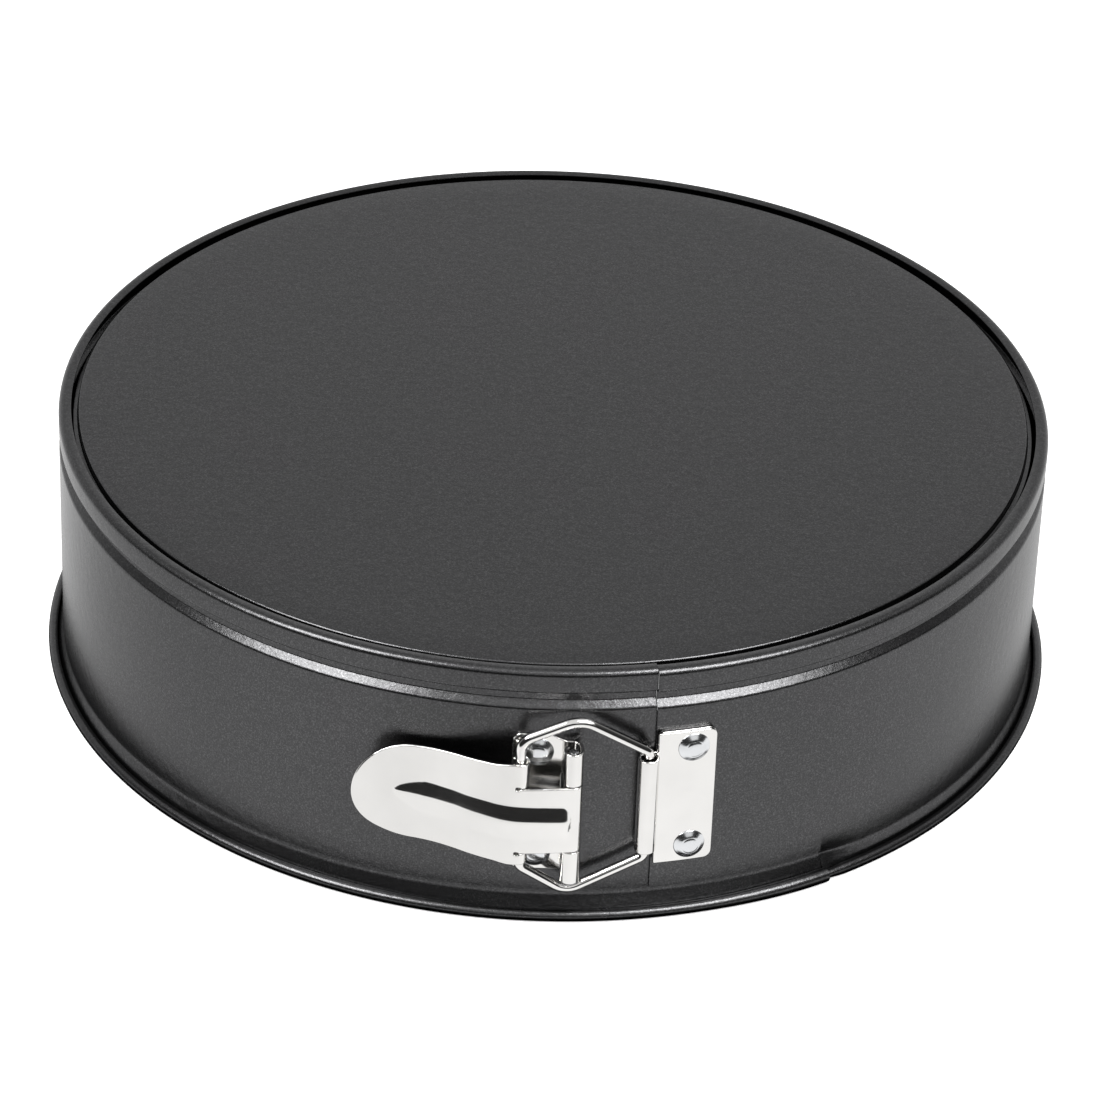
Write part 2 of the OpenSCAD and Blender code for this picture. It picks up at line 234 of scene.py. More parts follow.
# ---------------------------------------------------------------- meshes
def finish_mesh(name, verts, faces, material, angle=35):
    """Makes the object from millimetre points. Edges sharper than the angle are shaded as edges."""
    mesh = bpy.data.meshes.new(name)
    mesh.from_pydata([tuple(float(c) * MM for c in v) for v in verts], [], faces)
    mesh.validate()
    bm = bmesh.new()
    bm.from_mesh(mesh)
    bmesh.ops.recalc_face_normals(bm, faces=bm.faces)
    bm.to_mesh(mesh)
    bm.free()
    obj = bpy.data.objects.new(name, mesh)
    bpy.context.collection.objects.link(obj)
    mesh.materials.append(material)
    mesh.shade_smooth()
    mesh.set_sharp_from_angle(angle=math.radians(angle))
    return obj


def corner_arc(before, here, after, radius, straight, per, more):
    """One corner rounded by an arc. It stays a point where it turns too little, or has no radius."""
    here = np.array(here, float)
    if radius <= 0:
        return [here]
    before = np.array(before, float) - here
    after = np.array(after, float) - here
    before /= np.linalg.norm(before)
    after /= np.linalg.norm(after)
    half = math.acos(max(-1, min(1, float(before @ after)))) / 2
    if half > math.radians(straight):
        return [here]
    reach = radius / math.tan(half)
    centre = here + (before + after) / np.linalg.norm(before + after) * radius / math.sin(half)
    start = here + before * reach - centre
    turn = math.pi - 2 * half
    sign = 1 if before[0] * after[1] - before[1] * after[0] < 0 else -1
    steps = max(2, int(math.degrees(turn) / per) + more)
    out = []
    for k in range(steps + 1):
        a = sign * turn * k / steps
        c, s = math.cos(a), math.sin(a)
        out.append(centre + np.array([start[0] * c - start[1] * s, start[0] * s + start[1] * c]))
    return out


def fillet(points, per=10.0):
    """An open polyline through corner points (x, y, radius), each rounded by an arc."""
    out = [np.array(points[0][:2], float)]
    for before, here, after in zip(points[:-2], points[1:-1], points[2:]):
        out += corner_arc(before[:2], here[:2], after[:2], here[2], 89.5, per, 1)
    out.append(np.array(points[-1][:2], float))
    return np.array(out)


def rounded(corners, per=12.0):
    """A closed outline through corner points (x, y, radius), each rounded by an arc."""
    out = []
    for i, (x, y, radius) in enumerate(corners):
        before, after = corners[i - 1], corners[(i + 1) % len(corners)]
        out += corner_arc(before[:2], (x, y), after[:2], radius, 89, per, 0)
    return out


def path_normals(path):
    """Unit normals of a polyline, to the left of the way."""
    d = np.gradient(path, axis=0)
    seg = np.diff(path, axis=0)
    seg = seg / np.linalg.norm(seg, axis=1)[:, None]
    d[1:-1] = seg[:-1] + seg[1:]
    d[0], d[-1] = seg[0], seg[-1]
    d = d / np.linalg.norm(d, axis=1)[:, None]
    return np.stack([-d[:, 1], d[:, 0]], axis=1)


def thick_outline(path, thick):
    """Closed outline of a sheet along a path, with rounded ends: (left side, end, right side, start)."""
    n = path_normals(path)
    left = path + n * thick / 2
    right = path - n * thick / 2

    def cap(centre, normal, sign):
        along = np.array([normal[1], -normal[0]]) * sign
        return [
            centre + (math.cos(a) * normal * sign + math.sin(a) * along) * thick / 2
            for a in (math.pi / 4, math.pi / 2, 3 * math.pi / 4)
        ]
    end = cap(path[-1], n[-1], 1)
    start = cap(path[0], n[0], -1)
    return left, end, right, start


def smooth(t):
    """A soft step from 0 to 1."""
    t = max(0.0, min(1.0, t))
    return t * t * (3 - 2 * t)


def catmull(points, step=0.12):
    """A smooth curve through the points, and the sample number at which each point falls."""
    p = [np.array(q, float) for q in points]
    p = [2 * p[0] - p[1]] + p + [2 * p[-1] - p[-2]]
    out, marks = [p[1]], [0]
    for a, b, c, d in zip(p[:-3], p[1:-2], p[2:-1], p[3:]):
        chord = np.linalg.norm(c - b)
        m0 = (c - a) * chord / (chord + np.linalg.norm(b - a))
        m1 = (d - b) * chord / (np.linalg.norm(d - c) + chord)
        n = max(2, int(chord / step))
        for k in range(1, n + 1):
            t = k / n
            out.append(
                (2 * t**3 - 3 * t**2 + 1) * b
                + (t**3 - 2 * t**2 + t) * m0
                + (3 * t**2 - 2 * t**3) * c
                + (t**3 - t**2) * m1
            )
        marks.append(len(out) - 1)
    return out, marks


def around(pivot, t, n):
    """A point at t along the rim and n outward from a pivot given as (angle, radius)."""
    a = math.radians(pivot[0])
    out, along = np.array([math.cos(a), math.sin(a)]), np.array([-math.sin(a), math.cos(a)])
    return polar(*pivot) + t * along + n * out


def arc(pivot, radius, first, last, per=6.0):
    """Points round a pivot, between two angles that start from the way along the rim."""
    n = max(2, int(abs(last - first) / per))
    return [
        around(pivot, radius * math.cos(math.radians(a)), radius * math.sin(math.radians(a)))
        for a in np.linspace(first, last, n + 1)
    ]


class Strip:
    """A path in plan, walked by its length. Its normal points to the right of the way."""
    def __init__(self, points):
        self.p = np.array(points, float)
        step = np.linalg.norm(np.diff(self.p, axis=0), axis=1)
        keep = np.concatenate([[True], step > 1e-6])
        self.p = self.p[keep]
        step = np.linalg.norm(np.diff(self.p, axis=0), axis=1)
        self.s = np.concatenate([[0.0], np.cumsum(step)])
        self.length = float(self.s[-1])
        d = np.gradient(self.p, self.s, axis=0)
        d /= np.linalg.norm(d, axis=1)[:, None]
        self.n = np.stack([d[:, 1], -d[:, 0]], axis=1)

    def at(self, s):
        x, y = (np.interp(s, self.s, self.p[:, k]) for k in (0, 1))
        u, v = (np.interp(s, self.s, self.n[:, k]) for k in (0, 1))
        size = np.hypot(u, v)
        return x, y, u / size, v / size


def divided(loop, step, closest=0.04):
    """The closed outline with its long sides divided, and points that are too close left out."""
    out = []
    for a, b in zip(loop, loop[1:] + loop[:1]):
        n = max(1, int(math.ceil(np.linalg.norm(b - a) / step)))
        out += [a + (b - a) * k / n for k in range(n)]
    kept = [out[0]]
    for p in out[1:]:
        if np.linalg.norm(p - kept[-1]) > closest:
            kept.append(p)
    if np.linalg.norm(kept[0] - kept[-1]) < closest:
        kept.pop()
    return np.array(kept)


def inset(loop, distance):
    """The closed outline moved into its material."""
    area = np.sum(loop[:, 0] * np.roll(loop[:, 1], -1) - np.roll(loop[:, 0], -1) * loop[:, 1]) / 2
    ahead = np.roll(loop, -1, axis=0) - loop
    ahead /= np.linalg.norm(ahead, axis=1)[:, None]
    side = np.stack([-ahead[:, 1], ahead[:, 0]], axis=1) * (1 if area > 0 else -1)
    both = side + np.roll(side, 1, axis=0)
    length = np.linalg.norm(both, axis=1)[:, None]
    both /= length
    lean = np.clip(np.sum(both * side, axis=1), 0.5, 1)[:, None]
    return loop + both * distance / lean


def inside(points, loop, margin):
    """Which points lie inside the closed outline, at least a margin from it."""
    a, b = loop, np.roll(loop, -1, axis=0)
    d = b - a
    x, y = points[:, :1], points[:, 1:]
    rise = np.where(b[:, 1] == a[:, 1], 1e-9, d[:, 1])
    cross = ((a[:, 1] > y) != (b[:, 1] > y)) & (x < d[:, 0] * (y - a[:, 1]) / rise + a[:, 0])
    within = cross.sum(axis=1) % 2 == 1
    t = np.clip(((x - a[:, 0]) * d[:, 0] + (y - a[:, 1]) * d[:, 1]) / np.sum(d * d, axis=1), 0, 1)
    gap = np.hypot(x - a[:, 0] - t * d[:, 0], y - a[:, 1] - t * d[:, 1]).min(axis=1)
    return within & (gap > margin)


def bent_sheet(name, corners, place, thick, s_rows, z_rows, material, edge=0.2, step=0.45):
    """A pressed sheet: cut to an outline in (way, height), bent by place(), with rounded edges."""
    loop = divided(rounded(corners), step)
    face_loop = inset(loop, edge + 0.08)
    grid = np.array([(s, z) for s in s_rows for z in z_rows])
    grid = grid[inside(grid, face_loop, 0.42 * step)]
    n = len(face_loop)
    flat = [Vector(p) for p in face_loop] + [Vector(p) for p in grid]
    made = delaunay_2d_cdt(flat, [], [list(range(n))], 1, 1e-6)
    points = np.array([tuple(v) for v in made[0]])
    faces = [tuple(f) for f in made[2]]
    order = {}
    for i, origins in enumerate(made[3]):
        for origin in origins:
            if origin < n:
                order[origin] = i
    rim = [order[k] for k in range(n)]

    def lifted(flat_points, height):
        x, y, u, v, lift, z = place(flat_points[:, 0], flat_points[:, 1])
        return np.stack([x + u * (height + lift), y + v * (height + lift), LATCH_Z + z], axis=1)

    count = len(points)
    verts = [lifted(points, thick / 2), lifted(points, -thick / 2)]
    all_faces = faces + [tuple(count + k for k in f[::-1]) for f in faces]
    quarter = [math.radians(a) for a in (0, 30, 60, 90)]
    levels = [(edge * (1 - math.sin(a)), thick / 2 - edge * (1 - math.cos(a))) for a in quarter]
    levels += [(d, -h) for d, h in levels[::-1]]
    rings, total = [rim], 2 * count
    for distance, height in levels:
        verts.append(lifted(inset(loop, distance), height))
        rings.append(list(range(total, total + n)))
        total += n
    rings.append([count + k for k in rim])
    for upper, lower in zip(rings[:-1], rings[1:]):
        for k in range(n):
            m = (k + 1) % n
            all_faces.append((upper[k], upper[m], lower[m], lower[k]))
    return finish_mesh(name, np.concatenate(verts), all_faces, material)


# ---------------------------------------------------------------- band
WALL_ROWS = [59.4, 52, 44, 36, 28, 20, 13, 9.5, 7.3]    # heights of the points down the plain wall


def band_body():
    """Middle of the band's sheet in (radius, height), from the lip's free edge to the flare's foot."""
    w = BAND_R - SHEET / 2
    neck = w - 1.8
    body = fillet([
        (w - 2.85, 71.12, 0),
        (w, 71.33, 1.35),
        (w, 65.6, 0.7),
        (neck, 64.75, 0.55),
        (neck, 62.45, 0.8),
        (w, 60.65, 1.0),
        (w, 5.6, 3.4),
        (131.22, 1.25, 0),
    ], 8)[:-1]
    high = [p for p in body if p[1] > WALL_ROWS[0] + 0.2]
    low = [p for p in body if p[1] < WALL_ROWS[-1] - 0.3]
    return np.array(high + [np.array([w, z]) for z in WALL_ROWS] + low)


BODY = band_body()
ROW_TOP = int(np.argmin(np.abs(BODY[:, 1] - WALL_ROWS[0])))
ROW_FOOT = int(np.argmin(np.abs(BODY[:, 1] - WALL_ROWS[-1])))


def band_column(step, dent, tube, centre):
    """Closed outline of the band's section, as points (radius, height), and how many rows it has.

    step moves the whole wall inward, dent moves only its foot, and tube and centre give the rolled rim.
    """
    body = BODY.copy()
    fade = np.clip((body[:, 1] - 1.2) / 5.0, 0, 1)
    foot = np.array([smooth((9.0 - z) / 3.5) for z in body[:, 1]]) * fade
    body[:, 0] += -step * fade - dent * foot + (centre[0] - tube - FOOT_R) * (1 - fade)
    curl = [
        (centre[0] + tube * math.cos(math.radians(a)), centre[1] + tube * math.sin(math.radians(a)))
        for a in range(202, 480, 12)
    ]
    path = np.concatenate([body, np.array(curl)])
    left, end, right, start = thick_outline(path, SHEET)
    return list(left) + end + list(right[::-1]) + start, len(path)


def half_angles(start, end, latch_side):
    """Where one half of the band has its sections: closer together in the lap and beside the notch."""
    marks = sorted({m for m in (start, end, LAP_START, LAP_END, LAP_END + GAP) if start <= m <= end})
    angles = [start]
    for low, high in zip(marks[:-1], marks[1:]):
        n = max(1, int(round((high - low) / (1.25 if high - low > 25 else 0.7))))
        angles += [low + (high - low) * k / n for k in range(1, n + 1)]
    if not latch_side:
        extra = [LAP_END + GAP + k * 0.25 for k in range(1, 12)]
        angles = sorted({round(a, 4) for a in angles + extra})
    return angles


def half_section(a, latch_side):
    """The section at an angle. The inner layer steps inward, and its rim swells towards its end."""
    if latch_side:
        turn = 1 - math.cos(math.radians(a - 90))
        lap = smooth((a - 285.0) / 17.0)
        follow = 0.43 * (turn if a < 180 else 1 - smooth((a - 180) / 50.0))
        centre = (TUBE_R - follow + 0.48 * lap, TUBE_Z + 0.4 * lap)
        return band_column(LAYER * turn / 2, 0.0, TUBE + 0.4 * lap, centre)
    beyond = a - LAP_END - GAP
    tip = 1 - smooth(beyond / 2.6) if a > LAP_START else 0.0
    dent = 0.9 * (1 - smooth(beyond / 6.0)) if LAP_END < a < 360 else 0.0
    return band_column(0.0, dent, TUBE - 0.37 * tip, (TUBE_R + 0.3 * tip, TUBE_Z + 0.2 * tip))


def band_half(name, start, end, latch_side, material):
    """One half of the band, swept from angle to angle. The latch side is the inner layer.

    Where the two lap, the inner layer has only the wall and the rolled rim, and the outer layer has
    only the lip, the neck and the wall.
    """
    angles = half_angles(start, end, latch_side)
    verts, total = [], 0
    for a in angles:
        outline, rows = half_section(a, latch_side)
        c, s = math.cos(math.radians(a)), math.sin(math.radians(a))
        verts += [(p[0] * c, p[0] * s, p[1]) for p in outline]
        total = len(outline)
    inner = [rows + 3 + rows - 1 - i for i in range(rows)]
    full = list(range(total))
    lower = list(range(ROW_TOP, inner[ROW_TOP] + 1))
    upper = list(range(inner[ROW_FOOT], total)) + list(range(ROW_FOOT + 1))
    faces = []

    def cap(column, first, last, ends):
        """Closes the sheet's cut at a section, between two of its rows."""
        base = column * total
        for i in range(first, last):
            faces.append((base + i, base + i + 1, base + inner[i + 1], base + inner[i]))
        if "end" in ends:
            faces.append([base + k for k in (rows - 1, rows, rows + 1, rows + 2, inner[rows - 1])])
        if "start" in ends:
            faces.append([base + k for k in (inner[0], total - 3, total - 2, total - 1, 0)])

    kinds = []
    for low, high in zip(angles[:-1], angles[1:]):
        middle = (low + high) / 2
        partial = LAP_START < middle < LAP_END + GAP
        kinds.append((lower if latch_side else upper) if partial else full)
    for i, run in enumerate(kinds):
        for k in range(len(run)):
            a, b = run[k], run[(k + 1) % len(run)]
            faces.append((i * total + a, i * total + b, (i + 1) * total + b, (i + 1) * total + a))
        if i + 1 < len(kinds) and kinds[i + 1] is not run:
            if latch_side:
                cap(i + 1, 0, ROW_TOP, ["start"])
            else:
                cap(i + 1, ROW_FOOT, rows - 1, ["end"])
    for column, run in ((0, kinds[0]), (len(angles) - 1, kinds[-1])):
        if run is full:
            cap(column, 0, rows - 1, ["start", "end"])
        elif run is lower:
            cap(column, ROW_TOP, rows - 1, ["end"])
        else:
            cap(column, 0, ROW_FOOT, ["start"])
    used = sorted({k for f in faces for k in f})
    place = {k: i for i, k in enumerate(used)}
    faces = [tuple(place[k] for k in f) for f in faces]
    return finish_mesh(name, [verts[k] for k in used], faces, material)


# ---------------------------------------------------------------- turned parts
def turned(name, outline, steps, material, where=None, angle=30):
    """A solid turned about an axis. outline runs from the axis to the axis as (radius, height).

    where() turns a point of the solid into a point of the pan.
    """
    where = where or (lambda x, y, z: (x, y, z))
    ring = outline[1:-1]
    verts = [where(0, 0, outline[0][1]), where(0, 0, outline[-1][1])]
    for r, h in ring:
        for k in range(steps):
            a = 2 * math.pi * k / steps
            verts.append(where(r * math.cos(a), r * math.sin(a), h))
    faces = []
    for k in range(steps):
        m = (k + 1) % steps
        faces.append((0, 2 + k, 2 + m))
        last = 2 + (len(ring) - 1) * steps
        faces.append((1, last + m, last + k))
        for i in range(len(ring) - 1):
            a, b = 2 + i * steps, 2 + (i + 1) * steps
            faces.append((a + k, b + k, b + m, a + m))
    return finish_mesh(name, verts, faces, material, angle)


def base_disc(material):
    """The base: a flat face, an edge turned down, and a flange that stays inside the band."""
    face, flange, high, sheet = 124.5, 125.8, 71.0, 0.6
    low = high - 2.2
    top = fillet([
        (1.0, high, 0), (face, high, 0.6), (face, low, 0.35), (flange, low, 0.16),
        (flange, low - sheet, 0.16), (face - sheet, low - sheet, 0.5), (face - sheet, high - sheet, 0.4),
        (1.0, high - sheet, 0),
    ], 10)
    rings = [(r, high) for r in (20, 45, 70, 95, 115)]
    outline = [(0, high), tuple(top[0])] + rings + [tuple(p) for p in top[1:]] + [(0, high - sheet)]
    return turned("base_disc", outline, 240, material)


# Head of a set rivet as (radius, height): a shallow dome, a step, a skirt, and in under it to the shank.
RIVET_HEAD = [
    (0, 1.42), (0.5, 1.41), (1.0, 1.37), (1.45, 1.3), (1.8, 1.22), (2.02, 1.13), (2.12, 1.07), (2.2, 1.04),
    (2.35, 1.01), (2.55, 0.93), (2.9, 0.74), (3.25, 0.53), (3.55, 0.35), (3.8, 0.21), (3.95, 0.11),
    (4.0, 0.02), (1.9, 0.02),
]
SHANK = 1.9


def rivet(name, angle, z, seat, through, tail, material):
    """A rivet that points outward. Its head sits at the radius seat, and its tail is spread behind."""
    outline = RIVET_HEAD + [(SHANK, -through)]
    if tail:
        end = through + tail
        outline += [(2.9, -through), (3.0, -through - 0.15), (2.9, -end), (0, -end)]
    else:
        outline += [(0, -through)]
    a = math.radians(angle)
    out, along = (math.cos(a), math.sin(a)), (-math.sin(a), math.cos(a))

    def where(x, y, h):
        r = seat + h
        return (r * out[0] + x * along[0], r * out[1] + x * along[1], z + y)
    return turned(name, outline, 56, material, where)


def hinge_pin(material):
    half = 19.0
    outline = [(0, half), (0.8, half - 0.02), (1.1, half - 0.12), (1.25, half - 0.35),
               (1.25, -half + 0.35), (1.1, -half + 0.12), (0.8, -half + 0.02), (0, -half)]
    x, y = polar(*PIVOT)
    return turned("hinge_pin", outline, 40, material, lambda a, b, c: (x + a, y + b, HINGE_Z + c))


def tube_along(name, path, radius, material, sides=20):
    """A round wire swept along a path of points, with flat ends."""
    p = np.array(path, float)
    n = len(p)
    d = np.gradient(p, axis=0)
    d /= np.linalg.norm(d, axis=1)[:, None]
    plane = np.cross(p[n // 3] - p[0], p[2 * n // 3] - p[0])
    if np.linalg.norm(plane) < 1e-6:    # a straight wire has no plane of its own
        plane = np.array([1.0, 0, 0])
    plane /= np.linalg.norm(plane)
    verts, faces = [], []
    for k in range(n):
        side = np.cross(d[k], plane)
        side /= np.linalg.norm(side)
        for j in range(sides):
            a = 2 * math.pi * j / sides
            verts.append(p[k] + radius * (math.cos(a) * plane + math.sin(a) * side))
    for k in range(n - 1):
        for j in range(sides):
            m = (j + 1) % sides
            faces.append((k * sides + j, k * sides + m, (k + 1) * sides + m, (k + 1) * sides + j))
    faces.append(tuple(range(sides)))
    faces.append(tuple(range((n - 1) * sides, n * sides)))
    return finish_mesh(name, verts, faces, material)


# ---------------------------------------------------------------- latch
def lever_piece(material):
    """The lever: handle, tongue curled round the hinge, and two shoulders curled round the wire."""
    thick, curl_p, curl_w = 0.9, 2.05, 1.95     # sheet, and the two curls to the middle of the sheet
    shoulder_top = around(SHOULDER, 0, curl_w)
    painted_contact_shadow = around(PIVOT, curl_p * math.cos(math.radians(80)), curl_p * math.sin(math.radians(80)))
    handle = [polar(*p) for p in (
        (-109.7, 136.8), (-108.4, 135.0), (-106.8, 133.3), (-105, 132.4), (-103, 132),
        (-101, 132.3), (-99, 133.3), (-97, 134.8), (-95.2, 136), (-93.6, 136.9),
    )]
    middle = (shoulder_top + painted_contact_shadow) / 2 + 0.2 * (polar(-89, 1))
    points, marks = catmull(handle + [shoulder_top, middle, painted_contact_shadow])
    at_shoulder = marks[len(handle)]
    tongue = Strip(points + arc(PIVOT, curl_p, 80, -160))
    shoulder = Strip(points[:at_shoulder + 1] + arc(SHOULDER, curl_w, 88, -150))
    s_w = float(shoulder.s[at_shoulder])
    s_contact = float(tongue.s[len(points) - 1])
    rib_start, rib_end = 10.5, s_contact - 0.6

    def rib(s, z):
        """Height of the raised rib, which starts as a point on the handle and ends on the tongue."""
        middle_line = -1.9 * np.clip((s - 12) / (s_contact - 12), 0, 1)
        grow = np.clip((s - rib_start) / 8.0, 0, 1)
        stop = np.clip((rib_end - s) / 2.4, 0, 1)
        round_end = np.sqrt(np.clip(1 - (1 - stop) ** 2, 0, 1))
        width = 4.1 * np.sqrt(grow) * round_end + 1e-3
        away = (z - middle_line) / width / np.where(z < middle_line, 1.4, 1.0)
        x = np.clip(1.04 - np.sqrt(away ** 2 + 0.01), 0, None)
        return RIB_HEIGHT * width / 4.1 * x * x / (x + 0.05)

    high, low = 7.7, -11.3      # the tongue's two sides
    slit, half = 0.27, 13.7     # gap beside the tongue, and half the handle's width

    def place(s, z):
        first, second = tongue.at(s), shoulder.at(s)
        outer = (z > high + 0.13) | (z < low - 0.13)
        x, y, u, v = (np.where(outer, b, a) for a, b in zip(first, second))
        return x, y, u, v, rib(s, z), z

    quarter = math.pi / 2
    tip = [
        (TIP_LONG - TIP_LONG * math.cos(a), half * math.sin(a), 0)
        for a in np.linspace(-quarter, quarter, 64)
    ]
    s_b, s_a, s_r = shoulder.length, tongue.length, s_w - 0.9

    def shoulder_end(edge, sign):
        """The shoulder and the slit beside the tongue, from the handle's side to the tongue's end."""
        return [
            (s_w - 5.6, sign * 14.3, 3.0), (s_w - 2.6, sign * 14.75, 2.0), (s_b, sign * 14.75, 0.4),
            (s_b, edge + sign * slit, 0.4), (s_r + 1.3, edge + sign * slit, 0),
            (s_r + 1.0, edge + sign * 0.65, 0.2), (s_r, edge + sign * 0.65, 0.45),
            (s_r, edge - sign * 0.35, 0.45), (s_r + 1.0, edge - sign * 0.35, 0.2),
            (s_r + 1.3, edge, 0), (s_a, edge, 0.4),
        ]
    corners = tip + shoulder_end(high, 1) + shoulder_end(low, -1)[::-1]
    s_rows = np.concatenate([np.arange(0.5, s_w - 0.3, 0.5), np.arange(s_w, max(s_a, s_b), 0.3)])
    fine = np.arange(-7.0, 5.0, 0.32)
    z_rows = np.concatenate([np.arange(-14.2, -7.4, 0.75), fine, np.arange(5.4, 14.7, 0.75)])
    return bent_sheet("lever_pressing", corners, place, thick, s_rows, z_rows, material, 0.25)


def plain_place(strip):
    """Bends a sheet along the strip, with nothing raised on it."""
    def place(s, z):
        x, y, u, v = strip.at(s)
        return x, y, u, v, np.zeros_like(x), z
    return place


def bracket_piece(material):
    """The bracket: a plate on the inner layer that rises into two knuckles round the hinge pin."""
    thick, curl, wall = 0.9, 2.05, BAND_R - LAYER + 0.45
    flat = [polar(a, wall) for a in np.arange(-93, -88.0, 0.1)]
    steps = ((-0.5, -4.3), (0.8, -3.9), (1.7, -2.9), (2.03, -1.5), (curl, 0))
    rise, _ = catmull([flat[-1]] + [around(PIVOT, t, n) for t, n in steps])
    strip = Strip(flat + rise[1:] + arc(PIVOT, curl, 0, 238)[1:])
    s_w, s_end = wall * math.radians(5.1), strip.length
    corners = [
        (0, 19.2, 2.2), (s_w - 2.2, 19.2, 1.0), (s_w + 1.6, 17.4, 1.2),
        (s_end, 17.4, 0.35), (s_end, 8.0, 0.35), (s_w + 0.5, 8.0, 0.6),
        (s_w + 0.5, -11.6, 0.6), (s_end, -11.6, 0.35), (s_end, -21.0, 0.35),
        (s_w + 1.0, -21.0, 0.8), (s_w - 1.5, -20.8, 0.8), (0, -20.8, 2.2),
    ]
    s_rows = np.concatenate([np.arange(0.6, s_w, 0.8), np.arange(s_w + 0.3, s_end, 0.3)])
    z_rows = np.arange(-20.4, 19.1, 0.8)
    return bent_sheet("bracket_pressing", corners, plain_place(strip), thick, s_rows, z_rows, material, 0.25)


def keeper_piece(material):
    """The keeper: one sheet folded round the wire, with both its leaves on the outer layer."""
    sheet, curl = 0.74, 2.225
    back, front = BAND_R + 0.375, BAND_R + 1.125
    first = [polar(a, back) for a in np.arange(-70.85, -77.0, -0.1)]
    join, _ = catmull([first[-1], around(KEEPER, 1.6, -2.33), around(KEEPER, 0, -curl)])
    loop = arc(KEEPER, curl, -90, -385)
    last = [polar(a, front) for a in np.arange(-76.9, -70.83, 0.1)]
    steps = ((2.25, -1.36), (2.6, -1.62), (3.1, -1.68))
    fall, _ = catmull([loop[-1]] + [around(KEEPER, t, n) for t, n in steps] + [last[0]])
    points = first + join[1:] + loop[1:] + fall[1:] + last[1:]
    strip = Strip(points)
    s_a = back * math.radians(6.2)
    s_b = float(strip.length - front * math.radians(6.5))
    end = strip.length
    plate, knuckle = 19.25, 13.7    # half their heights
    top = [
        (0, plate, 2.0), (s_a, plate, 0.8), (s_a, knuckle, 0.5),
        (s_b, knuckle, 0.3), (s_b, plate, 0.5), (end, plate, 2.0),
    ]
    corners = top + [(s, -z, r) for s, z, r in top[::-1]]
    rows = (np.arange(0.6, s_a, 0.8), np.arange(s_a + 0.3, s_b, 0.3), np.arange(s_b + 0.4, end, 0.8))
    s_rows = np.concatenate(rows)
    z_rows = np.arange(-18.8, 19.0, 0.8)
    return bent_sheet("keeper_pressing", corners, plain_place(strip), sheet, s_rows, z_rows, material, 0.2)


def link_pieces(material):
    """The bent wire, and its straight side that turns in the keeper's knuckle."""
    w, k = polar(*SHOULDER), polar(*KEEPER)
    span = float(np.linalg.norm(k - w))

    def across(angle):
        return (polar(angle, 132)[0] - w[0]) / (k[0] - w[0]) * span
    half, end = 15.5, 13.72
    flat = fillet([
        (span, end, 0), (span, half, 2.4), (across(-85.8), 25.9, 8.0), (0, 20.45, 4.2),
        (0, -16.05, 3.6), (across(-86.8), -24.9, 6.0), (span, -half, 2.4), (span, -end, 0),
    ], 5)
    path = []
    for a, b in zip(flat[:-1], flat[1:]):
        n = max(1, int(np.linalg.norm(b - a) / 2.5))
        path += [a + (b - a) * i / n for i in range(n)]
    path.append(flat[-1])
    points = [np.array([*(w + (k - w) * u / span), LATCH_Z + z]) for u, z in path]
    wire = tube_along("link_bent_wire", points, WIRE_R, material)
    side = [np.array([k[0], k[1], LATCH_Z + z]) for z in np.linspace(-13.6, 13.6, 5)]
    middle = tube_along("link_wire_middle", side, WIRE_R, material)
    return wire, middle


# ---------------------------------------------------------------- stage
def make_floor():
    """A plain pale floor. In reflections it glows, with a painted contact shadow that darkens it under the
    rolled rim, and it is dark far in front of the pan.
    """
    size, drop = 5.0, -2e-5
    mesh = bpy.data.meshes.new("floor")
    corners = [(-size, -size), (size, -size), (size, size), (-size, size)]
    mesh.from_pydata([(x, y, drop) for x, y in corners], [], [(0, 1, 2, 3)])
    floor = bpy.data.objects.new("floor", mesh)
    bpy.context.collection.objects.link(floor)
    m = Nodes("floor")
    mesh.materials.append(m.material)
    where = m.add("ShaderNodeTexCoord").outputs["Object"]
    axes = m.add("ShaderNodeSeparateXYZ")
    m.link(where, axes.inputs["Vector"])
    reach = m.spread(axes.outputs["Y"], -0.44, -0.28, 0.02, FLOOR_GLOW)
    out = m.add("ShaderNodeVectorMath", operation="LENGTH")
    m.link(where, out.inputs[0])
    # painted contact shadow: the reflected glow drops to black in a ring just outside the rolled rim
    painted_contact_shadow = m.spread(out.outputs["Value"], 0.1368, 0.1428, 0.0, 1.0)
    patches = m.spread(m.noise(where, 6.0, 1.0, 0.4), 0.3, 0.7, 0.86, 1.08, "LINEAR")
    glow = m.add("ShaderNodeEmission")
    m.link(m.math("MULTIPLY", m.math("MULTIPLY", painted_contact_shadow, patches), reach), glow.inputs["Strength"])
    plain = m.add("ShaderNodeEmission", in_1=0.55)
    diffuse = m.add("ShaderNodeBsdfDiffuse", in_0=(0.86, 0.86, 0.86, 1))
    both = m.add("ShaderNodeAddShader")
    m.link(plain.outputs[0], both.inputs[0])
    m.link(diffuse.outputs[0], both.inputs[1])
    path = m.add("ShaderNodeLightPath")
    mix = m.add("ShaderNodeMixShader")
    m.link(path.outputs["Is Camera Ray"], mix.inputs[0])
    m.link(glow.outputs[0], mix.inputs[1])
    m.link(both.outputs[0], mix.inputs[2])
    m.link(mix.outputs[0], m.tree.nodes["Material Output"].inputs["Surface"])


